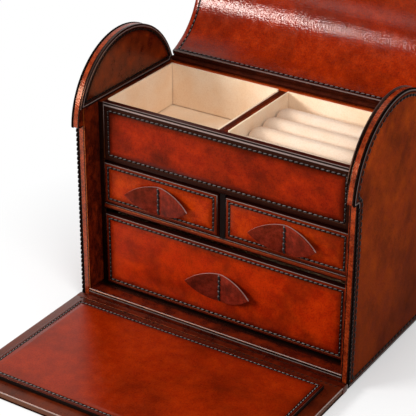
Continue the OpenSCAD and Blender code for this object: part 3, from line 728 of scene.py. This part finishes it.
moved = np.array([v.co for v in blown.data.vertices]) - start
far = np.linalg.norm(moved, axis=1, keepdims=True)
moved *= np.minimum(1, SWELL_LIMIT / np.maximum(far, 1e-9))
roll.modifiers.remove(cloth)
roll.data.vertices.foreach_set("co", (start + moved).ravel())
bpy.context.scene.frame_set(1)
apply_modifier(roll, "SUBSURF", levels=1, render_levels=1)
bpy.ops.object.shade_smooth()
places = np.array([v.co for v in roll.data.vertices])
places[:, 0] = middle.x + (places[:, 0] - middle.x) * END_STRETCH
places = np.clip(places, np.array(low + END_GAP + TOUCH), np.array(high - END_GAP - TOUCH))
roll.data.vertices.foreach_set("co", places.ravel())
# Painted shade at each end: a dark line for the shadow of the gap at the wall, fading to nothing about 22 mm in.
wear_and_light_by(roll, lambda p: np.interp(min(p.x - low.x, high.x - p.x) / MM, (1.0, 2.0, 8, 22), (0.9, 0.22, 0.16, 0)))
for number in (1, 2, 3, 4):
    node = f"ring_roll_{number}"
    one = bpy.data.objects.new(node + "_suede", roll.data.copy())
    one.data.transform(Matrix.Translation(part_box(node)[0] - low))
    bpy.context.scene.collection.objects.link(one)
    seat(one, roll_suede, "box", "suede", node)
bpy.data.objects.remove(roll)

# Drawers: glued board boxes lined with suede cards, each with a leather-covered front sewn all round.
# The pull is a leaf of waxed leather, sewn down along its middle so that its two wings stand off for the fingers.

# Chestnut calf of the large front: deep orange red with dark clouds.
chestnut = glazed_leather("glazed_chestnut_calf", "#bc3604", "#961d02", "#340802", cloud=42, mottling=0.65, shade=0.9,
                          shine=0.25)
# Russet calf of the small fronts: the same red with larger and lighter mottles.
russet = glazed_leather("glazed_russet_calf", "#be4006", "#921f03", "#420d03", cloud=30, mottle=11, mottling=0.75,
                        shine=0.2)
# Waxed calf of the pulls: dark red brown and dull.
wax_hide = glazed_leather("waxed_pull_calf", "#84281a", "#5c1408", "#1a0604", cloud=14, mottle=6, gloss=0.45, shine=0.2,
                          mottling=0.9, shade=0.9)
# Cut edge of the pulls: pale, dry and fibrous.
cut_edge = stained_board("raw_cut_edge", "#b0908a", "#7c5a52", gloss=0.55)
for drawer, hide in (("large", chestnut), ("left", russet), ("right", russet)):
    body = drawer + "_drawer"
    paint(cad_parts[body + "_box"], brown_board)
    suede_cards(body + "_lining", body, wall=1.5, floor=1.5)
    front = copy_of(body + "_front", body + "_front_hide")
    # Each front's rounded edges are painted dark, partly as the shade in the gaps round it, and its top edge gets a
    # painted highlight line.
    line = press_stitch_line(front, FRONT, margin=2.3, rub=0.7, edge=1.5)
    paint_top_highlights(front, body + "_front", 1.5, (0, 15, 33, 45, 60, 77, 90), (0.8, 1.0, 2.6, 2.2, 1.6, 1.8, 1.8))
    seat(front, hide, body, "chestnut_leather", body + "_front")
    sew(body + "_front_stitches", line, FRONT, body, pitch=4.4)
    pull = copy_of(body + "_pull", body + "_pull_leaf")
    ease_edges(pull, 0.45, angle=25)
    seat(pull, wax_hide, body, "dark_leather", body + "_pull")
    paint_part(pull, cut_edge, lambda face: abs(face.normal.y) < 0.25)
    low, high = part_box(body + "_pull")
    seam_x, seam_y = (low.x + high.x) / 2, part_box(body + "_front")[0].y - 2 * MM
    wear_and_light_by(pull, lambda p: np.interp((p.x - seam_x) / MM, (-0.5, 0.5), (0.3, 0)))
    sew(body + "_pull_stitches", [(seam_x, seam_y, low.z + 0.6 * MM), (seam_x, seam_y, high.z - 0.6 * MM)],
        FRONT, body, pitch=4.4, lean=16, closed=False, size=1.5)

# Lid: a bent board between two leathers, turning on a sewn leather bead along its back edge.
# Both leathers are sewn together round the edge, and the free edge is a half-round leather edging.

# The lid's arc, as it stands open: its hinge, and the centre of its curve when it is shut.
HINGE_Y, HINGE_Z = 60.2623 * MM, 183.591 * MM
SHUT_CENTRE_Y, SHUT_CENTRE_Z = -3.7 * MM, 161.25 * MM
LID_OPEN = math.radians(92)
closed_y, closed_z = SHUT_CENTRE_Y - HINGE_Y, SHUT_CENTRE_Z - HINGE_Z
LID_Y = HINGE_Y + closed_y * math.cos(LID_OPEN) + closed_z * math.sin(LID_OPEN)
LID_Z = HINGE_Z - closed_y * math.sin(LID_OPEN) + closed_z * math.cos(LID_OPEN)
LID_FROM, LID_TO = math.radians(21.0179) - LID_OPEN, math.radians(175.041) - LID_OPEN
LID_HALF = 120.0
# Across a lid leather, in mm: its eased edge and how far that sinks; then, from the seam out, half the groove,
# the groove's lip, and where the rubbing has faded and where it ends.
EASE, EDGE_SINK, HALF, LIP, FADED, ENDED = 0.7, 0.6, 0.7, 1.1, 5, 14
# Glazed calf inside the lid: red brown under a hard polish that shows the soft box as a broken band.
lid_hide = glazed_leather("glazed_lid_calf", "#b03606", "#841d03", "#3c0c03", cloud=44, gloss=0.14, grain=1.5,
                          pebble=0.8, shine=0.4, tint="#ffeae2", slack=0.12, turn=(0.3, 0, 0.5), sparkle=0.5)
# Rolled calf of the bead: black brown and dull.
bead_hide = glazed_leather("rolled_bead_calf", "#5c2410", "#34100a", "#0c0403", cloud=16, mottle=5, gloss=0.5,
                           shine=0.05)


def lid_place(x, radius, angle):
    """A point on the lid's arc, from mm and radians."""
    return Vector((x * MM, LID_Y + radius * MM * math.cos(angle), LID_Z + radius * MM * math.sin(angle)))


def lid_leather(name, node, material, slot, face_r, back_r, margin=5.0, hem=2.6):
    """One of the lid's leathers: a sheet laid over the curve, sewn hem mm from the hinge edge, else margin mm in."""
    inward = 1 if back_r > face_r else -1
    sweep = (LID_TO - LID_FROM) * face_r
    steps, first = ([0, EASE, m - LIP, m - HALF, m, m + HALF, m + LIP, m + FADED, m + ENDED] for m in (margin, hem))
    xs = [-LID_HALF + s for s in steps] + [-70, -35, 0, 35, 70] + [LID_HALF - s for s in reversed(steps)]
    middle_runs = np.linspace(hem + ENDED, sweep - margin - ENDED, 28)[1:-1]
    runs = first + list(middle_runs) + [sweep - s for s in reversed(steps)]
    bpy.ops.object.select_all(action="DESELECT")
    bpy.ops.mesh.primitive_grid_add(x_subdivisions=len(xs) - 1, y_subdivisions=len(runs) - 1, size=2)
    sheet = bpy.context.object
    sheet.name = name
    rub = []
    for vertex in sheet.data.vertices:
        column = round((vertex.co.x + 1) / 2 * (len(xs) - 1))
        row = round((vertex.co.y + 1) / 2 * (len(runs) - 1))
        x, run = xs[column], runs[row]
        off = min(LID_HALF - abs(x), sweep - run)
        past = min(off - margin, run - hem)
        sunk = max(np.interp(off, (0, EASE), (EDGE_SINK, 0)), np.interp(past, (-HALF, 0, HALF), (0, 0.45, 0)))
        vertex.co = lid_place(x, face_r + inward * sunk, LID_FROM + run / face_r)
        border = 1.1 if run < hem else 0.4
        worked = np.interp(past, (-margin, -margin + EASE, -LIP, -HALF, HALF, LIP, FADED, ENDED),
                           (1.6, border, border, 2, 2, 0.6, 0.2, 0))
        # The lining's hinge edge is painted black for the shadow of the gap there, with a faint painted highlight along
        # its very edge.
        rub.append(np.interp(run, (0, EASE), (2.4, 2)) if run < 1 and inward == 1 else worked)
    store_wear_and_light(sheet, rub)
    take_up(sheet)
    bpy.ops.object.mode_set(mode="EDIT")
    bpy.ops.mesh.select_all(action="SELECT")
    bpy.ops.mesh.normals_make_consistent(inside=False)
    bpy.ops.object.mode_set(mode="OBJECT")
    centre = Vector((0, LID_Y, LID_Z))
    polygon = sheet.data.polygons[len(sheet.data.polygons) // 2]
    towards = (polygon.center - centre) * Vector((0, 1, 1))
    if (towards.dot(polygon.normal) > 0) == (inward == 1):
        sheet.data.flip_normals()
    apply_modifier(sheet, "SOLIDIFY", thickness=(abs(back_r - face_r) - EDGE_SINK - 0.02) * MM, offset=-1)
    shade_round(50)
    seat(sheet, material, "lid", slot, node)

    def out(place):
        return Vector((0, LID_Y - place.y, LID_Z - place.z)).normalized() * inward

    line_r = face_r + inward * 0.35
    start, end = LID_FROM + hem / face_r, LID_TO - margin / face_r
    edge = LID_HALF - margin
    arc = np.linspace(start, end, 60)
    line = [lid_place(-edge, line_r, a) for a in arc]
    line += [lid_place(x, line_r, end) for x in np.linspace(-edge, edge, 20)[1:]]
    line += [lid_place(edge, line_r, a) for a in arc[::-1][1:]]
    line += [lid_place(x, line_r, start) for x in np.linspace(edge, -edge, 20)[1:-1]]
    sew(name + "_stitches", line, out, "lid", pitch=4.8)


lid_leather("lid_inner_hide", "lid_lining", lid_hide, "chestnut_leather", face_r=61.2, back_r=62.7)
lid_leather("lid_outer_hide", "lid_cover", tan_side, "tan_leather", face_r=67.2, back_r=65.7)
bead = copy_of("lid_hinge_bead", "lid_bead_hide")
ease_edges(bead, 0.4, angle=50)
seat(bead, bead_hide, "lid", "dark_leather", "lid_hinge_bead")
paint(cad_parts["lid_shell"], bead_hide)
edging = copy_of("lid_front_edging", "lid_edging_hide")
ease_edges(edging, 0.4, angle=50)
seat(edging, rim_hide, "lid", "dark_leather", "lid_front_edging")

# Drop front: a board between two leathers with a raised, sewn panel inside, hinged along its lower edge.
# The hinge edge is rolled leather, held by a row of short stitches.
DOWN = Vector((0, 0, -1))
# Rubbed board edge: mid brown, dry and faintly streaked.
edge_brown = stained_board("rubbed_board_edge", "#6a3a1e", "#3c1e10", shine=0.2)
# Glazed calf of the panel: orange red, evenly dyed and smooth, so that it mirrors the drawers softly.
flap_hide = glazed_leather("glazed_flap_calf", "#a43004", "#861d02", "#440d02", cloud=50, gloss=0.2, shine=0.34,
                           mottling=0.5, shade=0.7, slack=0.2)
# Rubbed calf of the border: dark brown with a soft gloss.
border_hide = glazed_leather("rubbed_border_calf", "#742a10", "#521806", "#220905", cloud=30, gloss=0.3, shine=0.5)
paint(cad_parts["flap_board"], edge_brown)
low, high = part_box("flap_raised_panel")
panel = block(low, high)
panel.name = "flap_panel_hide"
ease_edges(panel, 1.2, segments=4)
line = press_stitch_line(panel, UP, margin=2.4, rub=0.5, edge=INKED_EDGE, border=0.3)
seat(panel, flap_hide, "drop_front", "chestnut_leather", "flap_raised_panel")
# Its sides are black edge paint, which also stands in for the shadow at the step round the panel.
paint_part(panel, black_edge, lambda face: face.normal.z < 0.8)
sew("flap_panel_stitches", line, UP, "drop_front", pitch=3.7, size=0.8)
inner = copy_of("flap_inner_facing", "flap_inner_hide")
ease_edges(inner, 0.6, angle=40)
low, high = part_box("flap_inner_facing")
# Painted highlight: a pale line on black along its right and front edges.
wear_and_light_by(inner, lambda p: 2.5 if p.x > high.x - 0.5 * MM or p.y < low.y + 0.5 * MM else 0.2)
seat(inner, border_hide, "drop_front", "chestnut_leather", "flap_inner_facing")
outer = copy_of("flap_outer_facing", "flap_outer_hide")
ease_edges(outer, 0.6, angle=40)
line = press_stitch_line(outer, DOWN, margin=4.0, edge=INKED_EDGE)
seat(outer, tan_side, "drop_front", "tan_leather", "flap_outer_facing")
sew("flap_outer_stitches", line, DOWN, "drop_front", pitch=6.0, lean=4, thread=black_thread, size=1.3)
roll_edge = copy_of("flap_hinge_rail", "flap_hinge_hide")
ease_edges(roll_edge, 0.3, angle=50)
low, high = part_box("flap_hinge_rail")
# Painted shadow at its back where it meets the base, then a painted highlight line along its top.
wear_and_light_by(roll_edge, lambda p: np.interp((high.y - p.y) / MM, (0, 1.0, 1.8, 2.4, 3.2), (2, 2, 2.4, 1.4, 0.6)))
seat(roll_edge, floor_hide, "drop_front", "dark_leather", "flap_hinge_rail")
low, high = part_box("flap_inner_facing")
row_y, row_x = high.y - 1.6 * MM, high.x - 4 * MM
sew("flap_hinge_stitches", [(-row_x, row_y, high.z), (row_x, row_y, high.z)], UP, "drop_front", pitch=4.2,
    closed=False, thread=black_thread, proud=-0.4)
bpy.data.objects.remove(stitch)

# Table, light and camera: a pale table before a white backdrop, seen as in the photo.
# A long soft box at the left front draws the highlights; one high at the right front fills the shadows and draws none.
bpy.context.scene.view_settings.view_transform = "Standard"
bpy.ops.object.select_all(action="DESELECT")
bpy.ops.mesh.primitive_plane_add(size=8, location=(0, 0, -0.4 * MM))
table = bpy.context.object
table.name = "table"
# Pale matt table top: it keeps the box's shadow and fades to white further out.
table_top = new_material("pale_table")
rays = add(table_top, "LightPath")
spot = add(table_top, "TexCoord").outputs["Object"]
span = add(table_top, "VectorMath", {0: spot}, operation="LENGTH").outputs["Value"]
far = add(table_top, "MapRange", {"Value": span, "From Min": 0.08, "From Max": 0.32}).outputs["Result"]
white_out = add(table_top, "Math", {0: far, 1: rays.outputs["Is Camera Ray"]}, operation="MULTIPLY").outputs[0]
matt = add(table_top, "BsdfDiffuse", {"Color": (0.9, 0.9, 0.9, 1)}).outputs[0]
glow = add(table_top, "Emission", {"Color": (1, 1, 1, 1), "Strength": 1.0}).outputs[0]
seen_top = add(table_top, "MixShader", {0: white_out, 1: matt, 2: glow}).outputs[0]
add(table_top, "OutputMaterial", {"Surface": seen_top})
paint(table, table_top)

# White room: even light all round; what shines sees it white behind the box and dark in front.
world = bpy.data.worlds.new("white_room")
bpy.context.scene.world = world
world.use_nodes = True
world.node_tree.nodes.clear()
rays = add(world, "LightPath")
seen = add(world, "Math", {0: rays.outputs["Is Camera Ray"], 1: rays.outputs["Is Transmission Ray"]}, operation="ADD",
           use_clamp=True).outputs[0]
level = add(world, "MapRange", {"Value": seen, "To Min": 0.52, "To Max": 1.0}).outputs["Result"]
depth = add(world, "SeparateXYZ", {0: add(world, "TexCoord").outputs["Generated"]}).outputs["Y"]
backdrop = add(world, "MapRange", {"Value": depth, "From Min": -0.3, "From Max": 0.3,
                                   "To Min": 0.05}).outputs["Result"]
level = add(world, "Mix", {0: rays.outputs["Is Glossy Ray"], 2: level, 3: backdrop}).outputs[0]
room = add(world, "Background", {"Color": (1, 1, 1, 1), "Strength": level}).outputs[0]
add(world, "OutputWorld", {"Surface": room})


def soft_box(name, azimuth, elevation, distance, width, height, power, aim=(0, 0, 0.12)):
    """An area lamp that looks at the box, in degrees, metres and watts; azimuth goes from the front to the left."""
    a, e = math.radians(azimuth), math.radians(elevation)
    way = Vector((-math.sin(a) * math.cos(e), -math.cos(a) * math.cos(e), math.sin(e)))
    lamp = bpy.data.lights.new(name, "AREA")
    lamp.shape, lamp.size, lamp.size_y, lamp.energy = "RECTANGLE", width, height, power
    holder = bpy.data.objects.new(name, lamp)
    holder.location = Vector(aim) + way * distance
    holder.rotation_euler = way.to_track_quat("Z", "Y").to_euler()
    bpy.context.scene.collection.objects.link(holder)
    return holder


soft_box("key_soft_box", 42, 21, 1.4, 0.6, 0.22, 15.5)
soft_box("top_soft_box", -50, 50, 1.4, 0.5, 0.5, 7.6).visible_glossy = False

# The photo's view: the camera's angles in degrees, the point it looks at and how far off it stands.
VIEW_AZIMUTH, VIEW_ELEVATION, VIEW_ROLL = (math.radians(v) for v in (32.58, 27.42, 0.28))
VIEW_TARGET, VIEW_DISTANCE = Vector((-1.14, -66.86, 124.19)) * MM, 1185.2 * MM
away = Vector((math.sin(VIEW_AZIMUTH) * math.cos(VIEW_ELEVATION),
               -math.cos(VIEW_AZIMUTH) * math.cos(VIEW_ELEVATION), math.sin(VIEW_ELEVATION)))
level_right = Vector((math.cos(VIEW_AZIMUTH), math.sin(VIEW_AZIMUTH), 0))
level_up = away.cross(level_right)
right = level_right * math.cos(VIEW_ROLL) + level_up * math.sin(VIEW_ROLL)
eye = bpy.data.cameras.new("camera")
eye.lens, eye.sensor_width, eye.clip_end = 129.9, 36, 50
camera = bpy.data.objects.new("camera", eye)
camera.matrix_world = Matrix.Translation(VIEW_TARGET + away * VIEW_DISTANCE) @ Matrix(
    (right, away.cross(right), away)).transposed().to_4x4()
bpy.context.scene.collection.objects.link(camera)
bpy.context.scene.camera = camera
